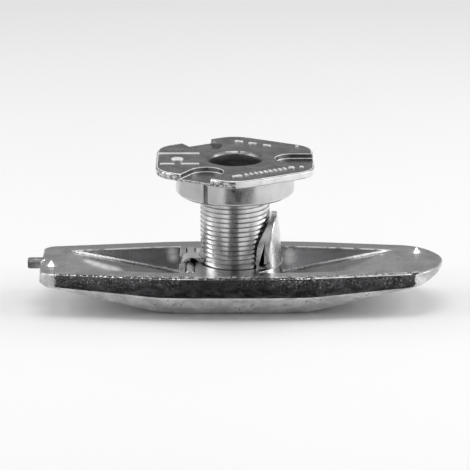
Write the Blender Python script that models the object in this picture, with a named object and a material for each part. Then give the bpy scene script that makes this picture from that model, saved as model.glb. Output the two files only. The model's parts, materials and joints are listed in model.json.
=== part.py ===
"""Metal toggle anchor: a boat-shaped toggle bar, a threaded barrel hinged in it, a flange nut.

The bar lies along X on its back flat, with its open mouth up. The barrel stands on Z.
"""
import math

import bmesh
import bpy
from mathutils import Vector

MM = 0.001

# Toggle bar, one casting
BAR_DEPTH = 6.0 * MM              # from the back flat up to the mouth plane
BAR_HALF_WIDTH = 8.5 * MM
TAPER_START = 8.0 * MM            # distance from the middle where the sides begin to draw in
TAPER_BLEND = 4.0 * MM            # the bend there is spread this far each way
RIM_BAND = 2.8 * MM               # height of the upright band round the rim, at the middle
BAND_EVEN_REACH = 10.0 * MM       # the band keeps that height this far out
END_BAND = 1.7 * MM
FLANK_RUN = 1.13                  # sideways run of the sloped flank for each unit of rise
FLANK_LIMIT = 0.45                # and at most this share of the half width
FLANK_LEAST = 0.17 * MM           # height that the flank keeps where the band meets the back
BACK_BLEND = 1.5 * MM             # the bend where the back starts to rise, spread each way
RIM_ROUND = 0.35 * MM
BAND_ROUND = 0.5 * MM
BACK_ROUND = 0.7 * MM

# Its blunt tail, towards -X
TAIL_REACH = 25.8 * MM
TAIL_HALF_WIDTH = 6.4 * MM
TAIL_CORNER = 1.8 * MM
TAIL_TIP_DEPTH = 1.6 * MM         # from the back up to the mouth plane at the very end
TAIL_LIFT = 0.45 * MM             # share of the back's rise that comes over the end rounding
TAIL_BACK_FLAT = 9.8 * MM
TAIL_POCKET_TIP = 22.5 * MM
TAIL_POCKET_FLOOR = 2.1 * MM      # metal under the pocket beside the hub, where it is deepest

# Its rounded nose, towards +X
NOSE_REACH = 27.7 * MM
NOSE_HALF_WIDTH = 6.6 * MM
NOSE_LENGTH = 5.4 * MM
NOSE_POINT = 1.15                 # 1 is half an ellipse in plan, more is more pointed
NOSE_ARC = 86                     # degrees of that arc that are built; 90 is its point
NOSE_TIP_DEPTH = 0.55 * MM
NOSE_LIFT = 1.65 * MM
NOSE_BACK_FLAT = 9.9 * MM
NOSE_POCKET_TIP = 21.5 * MM
NOSE_POCKET_FLOOR = 2.3 * MM

POCKET_WALL = 2.6 * MM            # rim thickness beside the pockets
POCKET_FILLET = 0.6 * MM

# Round pin and small spikes cast on the bar
END_PIN_LENGTH = 1.9 * MM
END_PIN_RADIUS = 0.75 * MM
END_PIN_BELOW_MOUTH = 0.45 * MM
END_PIN_ROOT = 0.45 * MM          # it runs this far on over the bar's end
END_PIN_CHAMFER = 0.14 * MM
SPIKE_BASE = 1.2 * MM
SPIKE_HEIGHT = 0.85 * MM
TAIL_SPIKE_TO_END = 1.4 * MM
TAIL_SPIKE_Y = -2.6 * MM
NOSE_SPIKE_TO_END = 3.2 * MM
NOSE_SPIKE_Y = 3.0 * MM

# Threaded barrel and its clearances
BARREL_RADIUS = 4.6 * MM          # at the thread's crest
BARREL_IN_HUB = 2.0 * MM          # length of barrel below the mouth plane
BARREL_LENGTH = 13.2 * MM
BARREL_CHAMFER = 0.35 * MM
SCREW_BORE_RADIUS = 3.0 * MM
THREAD_CLEARANCE = 0.3 * MM
THREAD_PITCH = 0.68 * MM
THREAD_DEPTH = 0.34 * MM
THREAD_OPEN = 0.9                 # share of the pitch that the cutter's open side takes
THREAD_PROUD = 0.08 * MM          # the cutter's open side lies this far outside the crest
THREAD_ABOVE_MOUTH = 0.2 * MM     # the thread starts at this height

# Hub that holds the barrel, and the tongue that rises from it
HUB_WALL = 1.45 * MM
HUB_FLOOR = 1.7 * MM
EXIT_HOLE_CLEARANCE = 0.3 * MM    # round the screw's bore
TONGUE_HALF_WIDTH = 4.05 * MM
TONGUE_STRAIGHT = 2.0 * MM        # height of its upright sides above the mouth plane
TONGUE_HEIGHT = 6.6 * MM
TONGUE_TIP_WALL = 0.7 * MM
TONGUE_FOOT_STEP = 0.1 * MM       # its foot lies this far inside the hub's outer face
TONGUE_BULGE = 0.145 * MM         # its outer face stands this far proud of a straight taper
TONGUE_BULGE_AT = 0.55            # at this share of its height
HOLLOW_DEPTH = 0.9 * MM           # the two wedge-shaped hollows in the tongue's side faces
HOLLOW_BOTTOM = 0.3 * MM
HOLLOW_TOP = 3.4 * MM
HOLLOW_WIDTH = 1.0 * MM
HOLLOW_INSET = 0.35 * MM          # from the tongue's inner edge
HOLLOW_TIP_AT = 0.8               # share of its width where its upper tip lies

# Hinge between bar and barrel
HINGE_TO_BORE = 1.05 * MM         # its axis lies this far outside the hub's bore, towards -X
HINGE_BELOW_MOUTH = 0.6 * MM
SEAT_BACK = 1.5 * MM              # from the hinge axis back to where the tail's pocket starts
EAR_RADIUS = 1.25 * MM
EAR_WIDTH = 2.6 * MM
EAR_CLEARANCE = 0.3 * MM
HINGE_PIN_RADIUS = 0.7 * MM
HINGE_PIN_CLEARANCE = 0.15 * MM
HINGE_PIN_TO_WALL = 0.5 * MM      # from each end of the pin to the pocket's side wall
HINGE_PIN_CHAMFER = 0.12 * MM

# Flange nut
COLLAR_WALL = 2.95 * MM           # outside the nut's thread
COLLAR_HEIGHT = 3.5 * MM
COLLAR_CHAMFER = 0.3 * MM
COLLAR_OVERLAP = 1.7 * MM         # length of barrel inside the nut
PLATE_THICKNESS = 1.0 * MM
PLATE_OVERHANG = 2.55 * MM        # from the collar to the middle of each flat
PLATE_CORNER = 4.0 * MM
PLATE_EDGE = 0.18 * MM
WEB_THICKNESS = 1.4 * MM          # solid metal between the nut's thread and its face
FACE_HOLE_CLEARANCE = 0.45 * MM   # round the screw's bore
FACE_HOLE_CHAMFER = 0.4 * MM
RECESS_WIDTH = 4.5 * MM
RECESS_DEPTH = 0.65 * MM
RECESS_TO_HOLE = 1.45 * MM
RECESS_COUNT = 3
GROOVE_WIDTH = 0.5 * MM           # the axial line down the collar under each recess
GROOVE_DEPTH = 0.2 * MM

# Fineness
ROUND_SEGMENTS = 64
SMALL_SEGMENTS = 28
BARREL_SEGMENTS = 44
THREAD_STEPS = 20                 # for each turn of the thread
ARC_STEPS = 3
TAPER_STEPS = 10
END_STEPS = 9
CUT_MARGIN = 1.0 * MM             # how far a cutter runs past the face it opens
JOIN_DEPTH = 0.3 * MM             # how far a joined shape runs into what carries it
FILLET_LIMIT = 0.45               # share of a side that the rounding of one corner may take

# Heights and places that follow from the sizes above
TAIL_RISE = BAR_DEPTH - TAIL_TIP_DEPTH - TAIL_LIFT
NOSE_RISE = BAR_DEPTH - NOSE_TIP_DEPTH - NOSE_LIFT
HUB_BORE_RADIUS = BARREL_RADIUS + THREAD_CLEARANCE
HUB_RADIUS = HUB_BORE_RADIUS + HUB_WALL
EXIT_HOLE_RADIUS = SCREW_BORE_RADIUS + EXIT_HOLE_CLEARANCE
HINGE_OUT = HUB_BORE_RADIUS + HINGE_TO_BORE
HINGE_Z = BAR_DEPTH - HINGE_BELOW_MOUTH
HINGE = Vector((-HINGE_OUT, 0.0, HINGE_Z))
POCKET_HALF_WIDTH = BAR_HALF_WIDTH - POCKET_WALL
HINGE_PIN_HALF = POCKET_HALF_WIDTH - HINGE_PIN_TO_WALL
BARREL_FOOT = BAR_DEPTH - BARREL_IN_HUB
BARREL_TOP = BARREL_FOOT + BARREL_LENGTH
NUT_THREAD_RADIUS = BARREL_RADIUS + THREAD_CLEARANCE
COLLAR_RADIUS = NUT_THREAD_RADIUS + COLLAR_WALL
COLLAR_BOTTOM = BARREL_TOP - COLLAR_OVERLAP
PLATE_HALF_FLATS = COLLAR_RADIUS + PLATE_OVERHANG
FACE_HOLE_RADIUS = SCREW_BORE_RADIUS + FACE_HOLE_CLEARANCE
RECESS_INNER_REACH = FACE_HOLE_RADIUS + FACE_HOLE_CHAMFER + RECESS_TO_HOLE
PLATE_BOTTOM = COLLAR_BOTTOM + COLLAR_HEIGHT
PLATE_TOP = PLATE_BOTTOM + PLATE_THICKNESS
TONGUE_TOP = BAR_DEPTH + TONGUE_HEIGHT


def clear_scene():
    """Remove whatever the open file holds."""
    for thing in list(bpy.data.objects):
        bpy.data.objects.remove(thing, do_unlink=True)


def metal(name, colour, roughness):
    """A plain metal surface."""
    material = bpy.data.materials.new(name)
    material.use_nodes = True
    shader = material.node_tree.nodes["Principled BSDF"]
    shader.inputs["Base Color"].default_value = (*colour, 1.0)
    shader.inputs["Metallic"].default_value = 1.0
    shader.inputs["Roughness"].default_value = roughness
    return material


def mesh_object(name, points, faces):
    """An object from world points and faces, with every face turned outwards."""
    mesh = bpy.data.meshes.new(name)
    mesh.from_pydata([tuple(point) for point in points], [], faces)
    shape = bmesh.new()
    shape.from_mesh(mesh)
    bmesh.ops.recalc_face_normals(shape, faces=shape.faces)
    shape.to_mesh(mesh)
    shape.free()
    mesh.shade_smooth()
    mesh.set_sharp_from_angle(angle=math.radians(30))
    thing = bpy.data.objects.new(name, mesh)
    bpy.context.collection.objects.link(thing)
    return thing


def loft(name, rings):
    """A closed skin over rings with equal numbers of points, capped at both ends."""
    count = len(rings[0])
    points = [point for ring in rings for point in ring]
    faces = []
    for first in range(len(rings) - 1):
        low = first * count
        high = low + count
        for i in range(count):
            j = (i + 1) % count
            faces.append((low + i, low + j, high + j, high + i))
    faces.append(tuple(range(count)))
    faces.append(tuple(range(len(points) - count, len(points))))
    return mesh_object(name, points, faces)


def turned(name, profile, segments=ROUND_SEGMENTS):
    """Turn a closed (radius, height) outline about Z. Points at radius 0 become poles."""
    points = []
    rows = []
    for radius, height in profile:
        if radius == 0.0:
            rows.append([len(points)] * segments)
            points.append((0.0, 0.0, height))
            continue
        start = len(points)
        for step in range(segments):
            angle = math.tau * step / segments
            points.append((radius * math.cos(angle), radius * math.sin(angle), height))
        rows.append(list(range(start, start + segments)))
    faces = []
    for row, following in zip(rows, rows[1:] + rows[:1]):
        for i in range(segments):
            j = (i + 1) % segments
            corners = list(dict.fromkeys((row[i], row[j], following[j], following[i])))
            if len(corners) > 2:
                faces.append(tuple(corners))
    return mesh_object(name, points, faces)


def prism(name, outline, low, high, place):
    """Extrude a flat outline from low to high; place(u, v, w) gives the world point."""
    rings = [[place(u, v, w) for u, v in outline] for w in (low, high)]
    return loft(name, rings)


def bent(past, blend, slope):
    """A straight slope that starts at 0, eased in over a blend each side of its start."""
    if past <= -blend:
        return 0.0
    if past < blend:
        return slope * (past + blend) ** 2 / (4 * blend)
    return slope * past


def along_x(u, v, w):
    return (w, u, v)


def along_y(u, v, w):
    return (u, w, v)


def along_z(u, v, w):
    return (u, v, w)


def arc(centre, radius, start, end, steps):
    """Points of an arc, angles in degrees, both ends included."""
    turns = [math.radians(start + (end - start) * step / steps) for step in range(steps + 1)]
    return [(centre[0] + radius * math.cos(turn), centre[1] + radius * math.sin(turn))
            for turn in turns]


def fillet(before, corner, after, radius, steps=ARC_STEPS):
    """Replace one corner of a flat outline by an arc, limited by the sides that meet there."""
    corner = Vector(corner)
    to_before = Vector(before) - corner
    to_after = Vector(after) - corner
    half = to_before.angle(to_after) / 2
    longest = FILLET_LIMIT * min(to_before.length, to_after.length)
    back = min(radius / math.tan(half), longest)
    start = corner + to_before.normalized() * back
    end = corner + to_after.normalized() * back
    points = []
    for step in range(steps + 1):
        t = step / steps
        points.append(tuple(start * (1 - t) ** 2 + corner * 2 * t * (1 - t) + end * t ** 2))
    return points


def rounded(corners, radii, steps=ARC_STEPS):
    """A closed outline with each corner rounded by its radius; a radius of 0 stays sharp."""
    outline = []
    for i, (corner, radius) in enumerate(zip(corners, radii)):
        if radius == 0.0:
            outline.append(corner)
            continue
        after = corners[(i + 1) % len(corners)]
        outline += fillet(corners[i - 1], corner, after, radius, steps)
    return outline


def use_tool(target, tool, operation):
    """Apply a hidden solid to a target with a Boolean."""
    tool.hide_render = True
    tool.display_type = "WIRE"
    step = target.modifiers.new(tool.name, "BOOLEAN")
    step.operation = operation
    step.solver = "EXACT"
    step.object = tool


def set_origin(thing, origin, parent=None):
    """Move an object's origin to a world point and leave its shape where it is."""
    for vertex in thing.data.vertices:
        vertex.co -= origin
    thing.location = origin
    if parent is not None:
        thing.parent = parent
        thing.location = origin - parent.location


class Arm:
    """One half of the bar: the tail towards -X or the nose towards +X."""

    def __init__(self, side, reach, end_half_width, end_length, rise, lift, back_flat,
                 pocket_start, pocket_tip, pocket_floor):
        self.side = side
        self.reach = reach
        self.end_half_width = end_half_width
        self.end_length = end_length
        self.rise = rise
        self.lift = lift
        self.back_flat = back_flat
        self.pocket_start = pocket_start
        self.pocket_tip = pocket_tip
        self.pocket_slope = (BAR_DEPTH - pocket_floor) / (pocket_tip - HUB_RADIUS)
        self.end_start = reach - end_length

    def half_width(self, out):
        """Half width of the rim at a distance out from the middle, before the end rounding."""
        slope = (BAR_HALF_WIDTH - self.end_half_width) / (self.end_start - TAPER_START)
        return BAR_HALF_WIDTH - bent(out - TAPER_START, TAPER_BLEND, slope)

    def back_height(self, out):
        """Height of the back at a distance out."""
        slope = self.rise / (self.end_start - self.back_flat)
        height = bent(min(out, self.end_start) - self.back_flat, BACK_BLEND, slope)
        beyond = max(0.0, out - self.end_start) / self.end_length
        return height + self.lift * beyond ** 1.5

    def band(self, out):
        """Height of the rim band at a distance out."""
        past = max(0.0, out - BAND_EVEN_REACH) / (self.reach - BAND_EVEN_REACH)
        return RIM_BAND + (END_BAND - RIM_BAND) * past

    def section(self, out, half_width):
        """One cross-section of the bar, as world points."""
        back = self.back_height(out)
        band_foot = max(BAR_DEPTH - self.band(out), back + FLANK_LEAST)
        run = min((band_foot - back) * FLANK_RUN, FLANK_LIMIT * half_width)
        corners = [
            (half_width, BAR_DEPTH),
            (half_width, band_foot),
            (half_width - run, back),
            (run - half_width, back),
            (-half_width, band_foot),
            (-half_width, BAR_DEPTH),
        ]
        radii = [RIM_ROUND, BAND_ROUND, BACK_ROUND, BACK_ROUND, BAND_ROUND, RIM_ROUND]
        return [(self.side * out, y, z) for y, z in rounded(corners, radii)]

    def stations(self):
        """Distances and half widths from the middle to the start of the end rounding."""
        outs = [self.end_start * step / TAPER_STEPS for step in range(TAPER_STEPS + 1)]
        bends = [TAPER_START - TAPER_BLEND, TAPER_START + TAPER_BLEND]
        bends += [self.back_flat + shift * BACK_BLEND for shift in (-1.0, -0.3, 0.3, 1.0)]
        return [(out, self.half_width(out)) for out in sorted(set(outs + bends))]

    def floor_height(self, out):
        """The pocket's floor ramps up from the hub to the mouth plane at its tip."""
        return BAR_DEPTH - self.pocket_slope * (self.pocket_tip - out)

    def pocket_section(self, out):
        """One cross-section of the pocket's cutter."""
        half = self.half_width(out) - POCKET_WALL
        top = BAR_DEPTH + CUT_MARGIN
        floor = self.floor_height(out)
        corners = [(half, top), (half, floor), (-half, floor), (-half, top)]
        outline = rounded(corners, [0.0, POCKET_FILLET, POCKET_FILLET, 0.0])
        return [(self.side * out, y, z) for y, z in outline]


def tail_end_stations(arm):
    """The tail's upright corners are quarter circles in plan."""
    result = []
    for step in range(1, END_STEPS + 1):
        turn = math.radians(90 * step / END_STEPS)
        out = arm.end_start + arm.end_length * math.sin(turn)
        result.append((out, arm.end_half_width - arm.end_length * (1 - math.cos(turn))))
    return result


def nose_end_stations(arm):
    """The nose narrows along an arc in plan, stopped just short of its point."""
    result = []
    for step in range(1, END_STEPS + 1):
        turn = math.radians(NOSE_ARC * step / END_STEPS)
        reach = math.sin(turn) / math.sin(math.radians(NOSE_ARC))
        out = arm.end_start + arm.end_length * reach
        result.append((out, arm.end_half_width * math.cos(turn) ** NOSE_POINT))
    return result


def bar_body(tail, nose):
    """The solid boat shape, lofted from the tail to the nose."""
    left = tail.stations() + tail_end_stations(tail)
    right = nose.stations()[1:] + nose_end_stations(nose)
    rings = [tail.section(out, half) for out, half in reversed(left)]
    rings += [nose.section(out, half) for out, half in right]
    return loft("toggle_bar", rings)


def pocket_cutter(arm, name):
    """The hollow on one side of the hub."""
    start = arm.pocket_start
    end = arm.pocket_tip + 0.5 * CUT_MARGIN / arm.pocket_slope
    steps = TAPER_STEPS
    outs = [start + (end - start) * step / steps for step in range(steps + 1)]
    cutter = loft(name, [arm.pocket_section(out) for out in outs])
    core = turned(name + "_hub_core", [
        (0.0, -CUT_MARGIN), (HUB_RADIUS, -CUT_MARGIN),
        (HUB_RADIUS, BAR_DEPTH + 2 * CUT_MARGIN), (0.0, BAR_DEPTH + 2 * CUT_MARGIN)])
    use_tool(cutter, core, "DIFFERENCE")
    return cutter


def ear_slot():
    """The slot between the hinge pin's two seats, where the barrel's ear swings."""
    half = EAR_WIDTH / 2 + EAR_CLEARANCE
    low = HINGE_Z - EAR_RADIUS - EAR_CLEARANCE
    high = BAR_DEPTH + CUT_MARGIN
    far = -HINGE_OUT - SEAT_BACK - CUT_MARGIN
    near = -0.5 * HUB_BORE_RADIUS
    outline = [(far, low), (near, low), (near, high), (far, high)]
    return prism("ear_slot", outline, -half, half, along_y)


def tongue():
    """The curved plate that rises from the hub and backs the barrel on the nose side."""
    foot = BAR_DEPTH - JOIN_DEPTH
    inner = HUB_BORE_RADIUS - JOIN_DEPTH
    outer = HUB_RADIUS - TONGUE_FOOT_STEP
    tip_outer = HUB_BORE_RADIUS + TONGUE_TIP_WALL
    bulge_outer = outer + TONGUE_BULGE_AT * (tip_outer - outer) + TONGUE_BULGE
    blank = turned("tongue", [
        (inner, foot), (outer, foot), (outer, BAR_DEPTH),
        (bulge_outer, BAR_DEPTH + TONGUE_BULGE_AT * TONGUE_HEIGHT), (tip_outer, TONGUE_TOP),
        (inner, TONGUE_TOP + CUT_MARGIN)])
    crown = TONGUE_HEIGHT - TONGUE_STRAIGHT
    outline = [(-TONGUE_HALF_WIDTH, foot - CUT_MARGIN), (TONGUE_HALF_WIDTH, foot - CUT_MARGIN)]
    steps = ROUND_SEGMENTS // 4
    for step in range(steps + 1):
        turn = math.pi * step / steps
        outline.append((TONGUE_HALF_WIDTH * math.cos(turn),
                        BAR_DEPTH + TONGUE_STRAIGHT + crown * math.sin(turn)))
    keep = prism("tongue_outline", outline, 0.0, HUB_RADIUS + CUT_MARGIN, along_x)
    use_tool(blank, keep, "INTERSECT")
    return blank


def hub_bore():
    """The round well that takes the barrel's foot, and the screw's way out through the back."""
    top = TONGUE_TOP + 2 * CUT_MARGIN
    return turned("hub_bore", [
        (0.0, -CUT_MARGIN), (EXIT_HOLE_RADIUS, -CUT_MARGIN), (EXIT_HOLE_RADIUS, HUB_FLOOR),
        (HUB_BORE_RADIUS, HUB_FLOOR), (HUB_BORE_RADIUS, top), (0.0, top)])


def tongue_hollow(side):
    """A wedge-shaped hollow cast in one side face of the tongue."""
    inner_edge = math.sqrt(HUB_BORE_RADIUS ** 2 - TONGUE_HALF_WIDTH ** 2)
    near = inner_edge + HOLLOW_INSET
    outline = [(near, BAR_DEPTH + HOLLOW_BOTTOM), (near + HOLLOW_WIDTH, BAR_DEPTH + HOLLOW_BOTTOM),
               (near + HOLLOW_TIP_AT * HOLLOW_WIDTH, BAR_DEPTH + HOLLOW_TOP)]
    name = "tongue_hollow_far" if side > 0 else "tongue_hollow_near"
    ends = sorted((side * (TONGUE_HALF_WIDTH - HOLLOW_DEPTH),
                   side * (TONGUE_HALF_WIDTH + CUT_MARGIN)))
    return prism(name, outline, ends[0], ends[1], along_y)


def spike(name, x, y):
    """A small pyramid on the mouth plane."""
    grown = SPIKE_BASE / 2 * (1 + JOIN_DEPTH / SPIKE_HEIGHT)
    base = BAR_DEPTH - JOIN_DEPTH
    corners = [(x - grown, y - grown, base), (x + grown, y - grown, base),
               (x + grown, y + grown, base), (x - grown, y + grown, base)]
    points = corners + [(x, y, BAR_DEPTH + SPIKE_HEIGHT)]
    faces = [(0, 1, 2, 3), (0, 1, 4), (1, 2, 4), (2, 3, 4), (3, 0, 4)]
    return mesh_object(name, points, faces)


def end_pin():
    """The round pin at the tail, running into the casting."""
    centre = (0.0, BAR_DEPTH - END_PIN_BELOW_MOUTH)
    full = arc(centre, END_PIN_RADIUS, 0, 360, SMALL_SEGMENTS)[:-1]
    end = arc(centre, END_PIN_RADIUS - END_PIN_CHAMFER, 0, 360, SMALL_SEGMENTS)[:-1]
    tip = -TAIL_REACH - END_PIN_LENGTH
    rings = [[along_x(u, v, tip) for u, v in end],
             [along_x(u, v, tip + END_PIN_CHAMFER) for u, v in full],
             [along_x(u, v, END_PIN_ROOT - TAIL_REACH) for u, v in full]]
    return loft("end_pin", rings)


def hinge_hole(name, half):
    """A cross hole on the hinge axis, with the pin's running clearance."""
    outline = arc((-HINGE_OUT, HINGE_Z), HINGE_PIN_RADIUS + HINGE_PIN_CLEARANCE, 0, 360,
                  SMALL_SEGMENTS)[:-1]
    return prism(name, outline, -half, half, along_y)


def make_toggle_bar():
    """The bar in one piece; beside the hinge its pocket starts behind the pin's two seats."""
    tail = Arm(-1, TAIL_REACH, TAIL_HALF_WIDTH, TAIL_CORNER, TAIL_RISE, TAIL_LIFT,
               TAIL_BACK_FLAT, HINGE_OUT + SEAT_BACK, TAIL_POCKET_TIP, TAIL_POCKET_FLOOR)
    nose = Arm(1, NOSE_REACH, NOSE_HALF_WIDTH, NOSE_LENGTH, NOSE_RISE, NOSE_LIFT,
               NOSE_BACK_FLAT, 0.5 * HUB_RADIUS, NOSE_POCKET_TIP, NOSE_POCKET_FLOOR)
    bar = bar_body(tail, nose)
    use_tool(bar, pocket_cutter(tail, "tail_pocket"), "DIFFERENCE")
    use_tool(bar, pocket_cutter(nose, "nose_pocket"), "DIFFERENCE")
    use_tool(bar, tongue(), "UNION")
    use_tool(bar, hub_bore(), "DIFFERENCE")
    use_tool(bar, ear_slot(), "DIFFERENCE")
    for side in (-1, 1):
        use_tool(bar, tongue_hollow(side), "DIFFERENCE")
    use_tool(bar, spike("tail_spike", TAIL_SPIKE_TO_END - TAIL_REACH, TAIL_SPIKE_Y), "UNION")
    use_tool(bar, spike("nose_spike", NOSE_REACH - NOSE_SPIKE_TO_END, NOSE_SPIKE_Y), "UNION")
    use_tool(bar, end_pin(), "UNION")
    seat_hole = hinge_hole("seat_hole", HINGE_PIN_HALF + HINGE_PIN_CLEARANCE)
    use_tool(bar, seat_hole, "DIFFERENCE")
    bar.data.materials.append(metal("Cast zinc, bright", (0.62, 0.62, 0.63), 0.32))
    return bar


def make_hinge_pin():
    """The pin across the pocket, in its two seats and through the barrel's ear."""
    half = HINGE_PIN_HALF
    centre = (-HINGE_OUT, HINGE_Z)
    full = arc(centre, HINGE_PIN_RADIUS, 0, 360, SMALL_SEGMENTS)[:-1]
    end = arc(centre, HINGE_PIN_RADIUS - HINGE_PIN_CHAMFER, 0, 360, SMALL_SEGMENTS)[:-1]
    stations = [(end, -half), (full, HINGE_PIN_CHAMFER - half), (full, half - HINGE_PIN_CHAMFER),
                (end, half)]
    rings = [[along_y(u, v, w) for u, v in outline] for outline, w in stations]
    pin = loft("hinge_pin", rings)
    set_origin(pin, HINGE)
    pin.data.materials.append(metal("Drawn steel wire", (0.7, 0.7, 0.71), 0.25))
    return pin


def outer_thread():
    """The V groove of the right-handed outer thread, which runs in over its first turn."""
    start = BAR_DEPTH + THREAD_ABOVE_MOUTH
    turns = (BARREL_TOP - start) / THREAD_PITCH + 1
    half = THREAD_OPEN * THREAD_PITCH / 2
    open_side = BARREL_RADIUS + THREAD_PROUD
    outline = [(open_side, -half), (open_side, half), (BARREL_RADIUS - THREAD_DEPTH, 0.0)]
    rings = []
    for step in range(math.ceil(turns * THREAD_STEPS) + 1):
        turned_by = step / THREAD_STEPS
        out = (THREAD_DEPTH + THREAD_PROUD) * max(0.0, 1 - turned_by)
        height = start + THREAD_PITCH * turned_by
        angle = math.tau * turned_by
        rings.append([((radius + out) * math.cos(angle), (radius + out) * math.sin(angle),
                       height + up) for radius, up in outline])
    return loft("outer_thread", rings)


def make_threaded_barrel():
    """The barrel with its thread and screw bore, and the ear that takes the hinge pin."""
    edge = BARREL_CHAMFER
    barrel = turned("threaded_barrel", [
        (SCREW_BORE_RADIUS + edge, BARREL_FOOT), (BARREL_RADIUS - edge, BARREL_FOOT),
        (BARREL_RADIUS, BARREL_FOOT + edge), (BARREL_RADIUS, BARREL_TOP - edge),
        (BARREL_RADIUS - edge, BARREL_TOP), (SCREW_BORE_RADIUS + edge, BARREL_TOP),
        (SCREW_BORE_RADIUS, BARREL_TOP - edge), (SCREW_BORE_RADIUS, BARREL_FOOT + edge)],
        BARREL_SEGMENTS)
    root = -0.5 * (BARREL_RADIUS + SCREW_BORE_RADIUS)
    outline = arc((-HINGE_OUT, HINGE_Z), EAR_RADIUS, 90, 270, SMALL_SEGMENTS // 2)
    outline += [(root, HINGE_Z - EAR_RADIUS), (root, HINGE_Z + EAR_RADIUS)]
    ear = prism("ear", outline, -EAR_WIDTH / 2, EAR_WIDTH / 2, along_y)
    use_tool(barrel, ear, "UNION")
    use_tool(barrel, hinge_hole("ear_hole", EAR_WIDTH / 2 + CUT_MARGIN), "DIFFERENCE")
    use_tool(barrel, outer_thread(), "DIFFERENCE")
    set_origin(barrel, HINGE)
    barrel.data.materials.append(metal("Turned zinc, bright", (0.72, 0.72, 0.73), 0.22))
    return barrel


def hexagon(inset):
    """The plate's outline: six flats with rounded corners, one flat facing +X."""
    corner_reach = (PLATE_HALF_FLATS - inset) / math.cos(math.radians(30))
    corners = [(corner_reach * math.cos(math.radians(30 + 60 * side)),
                corner_reach * math.sin(math.radians(30 + 60 * side))) for side in range(6)]
    return rounded(corners, [PLATE_CORNER - inset] * 6, 2 * ARC_STEPS)


def recess_cutter(number):
    """A round-ended recess in the plate's face, open at the rim."""
    half = RECESS_WIDTH / 2
    outer = PLATE_HALF_FLATS + CUT_MARGIN
    outline = arc((RECESS_INNER_REACH + half, 0.0), half, 90, 270, SMALL_SEGMENTS // 2)
    outline += [(outer, -half), (outer, half)]
    cutter = prism("recess_%d" % number, outline, PLATE_TOP - RECESS_DEPTH,
                   PLATE_TOP + CUT_MARGIN, along_z)
    cutter.rotation_euler.z = math.tau * number / RECESS_COUNT
    return cutter


def groove_cutter(number):
    """A shallow line down the collar, under one recess."""
    half = GROOVE_WIDTH / 2
    inner = COLLAR_RADIUS - GROOVE_DEPTH
    outer = COLLAR_RADIUS + CUT_MARGIN
    outline = [(inner, -half), (outer, -half), (outer, half), (inner, half)]
    cutter = prism("groove_%d" % number, outline, COLLAR_BOTTOM - CUT_MARGIN,
                   PLATE_BOTTOM - 0.5 * GROOVE_DEPTH, along_z)
    cutter.rotation_euler.z = math.tau * number / RECESS_COUNT
    return cutter


def make_flange_nut(barrel):
    """The collar that screws on the barrel, and its six-sided plate with three recesses."""
    layers = [(PLATE_EDGE, PLATE_BOTTOM), (0.0, PLATE_BOTTOM + PLATE_EDGE),
              (0.0, PLATE_TOP - PLATE_EDGE), (PLATE_EDGE, PLATE_TOP)]
    rings = [[(x, y, height) for x, y in hexagon(inset)] for inset, height in layers]
    nut = loft("flange_nut", rings)
    collar_top = PLATE_BOTTOM + 0.5 * (PLATE_THICKNESS - RECESS_DEPTH)
    collar = turned("collar", [
        (0.0, COLLAR_BOTTOM), (COLLAR_RADIUS - COLLAR_CHAMFER, COLLAR_BOTTOM),
        (COLLAR_RADIUS, COLLAR_BOTTOM + COLLAR_CHAMFER), (COLLAR_RADIUS, collar_top),
        (0.0, collar_top)])
    use_tool(nut, collar, "UNION")
    web_bottom = PLATE_TOP - WEB_THICKNESS
    bore = turned("nut_bore", [
        (0.0, COLLAR_BOTTOM - CUT_MARGIN), (NUT_THREAD_RADIUS, COLLAR_BOTTOM - CUT_MARGIN),
        (NUT_THREAD_RADIUS, web_bottom), (FACE_HOLE_RADIUS, web_bottom),
        (FACE_HOLE_RADIUS, PLATE_TOP - FACE_HOLE_CHAMFER),
        (FACE_HOLE_RADIUS + FACE_HOLE_CHAMFER + CUT_MARGIN, PLATE_TOP + CUT_MARGIN),
        (0.0, PLATE_TOP + CUT_MARGIN)])
    use_tool(nut, bore, "DIFFERENCE")
    for number in range(RECESS_COUNT):
        use_tool(nut, recess_cutter(number), "DIFFERENCE")
        use_tool(nut, groove_cutter(number), "DIFFERENCE")
    set_origin(nut, Vector((0.0, 0.0, COLLAR_BOTTOM)), barrel)
    nut.data.materials.append(metal("Cast zinc, polished", (0.68, 0.68, 0.69), 0.25))
    return nut


def main():
    clear_scene()
    make_toggle_bar()
    make_hinge_pin()
    barrel = make_threaded_barrel()
    make_flange_nut(barrel)


main()
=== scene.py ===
"""Looks of a metal toggle anchor: cast toggle bar, hinge pin, threaded barrel and flange nut.

Every length is in metres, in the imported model's own frame. The bar lies along X and the barrel
stands on Z.
"""

import json
import math

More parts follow.
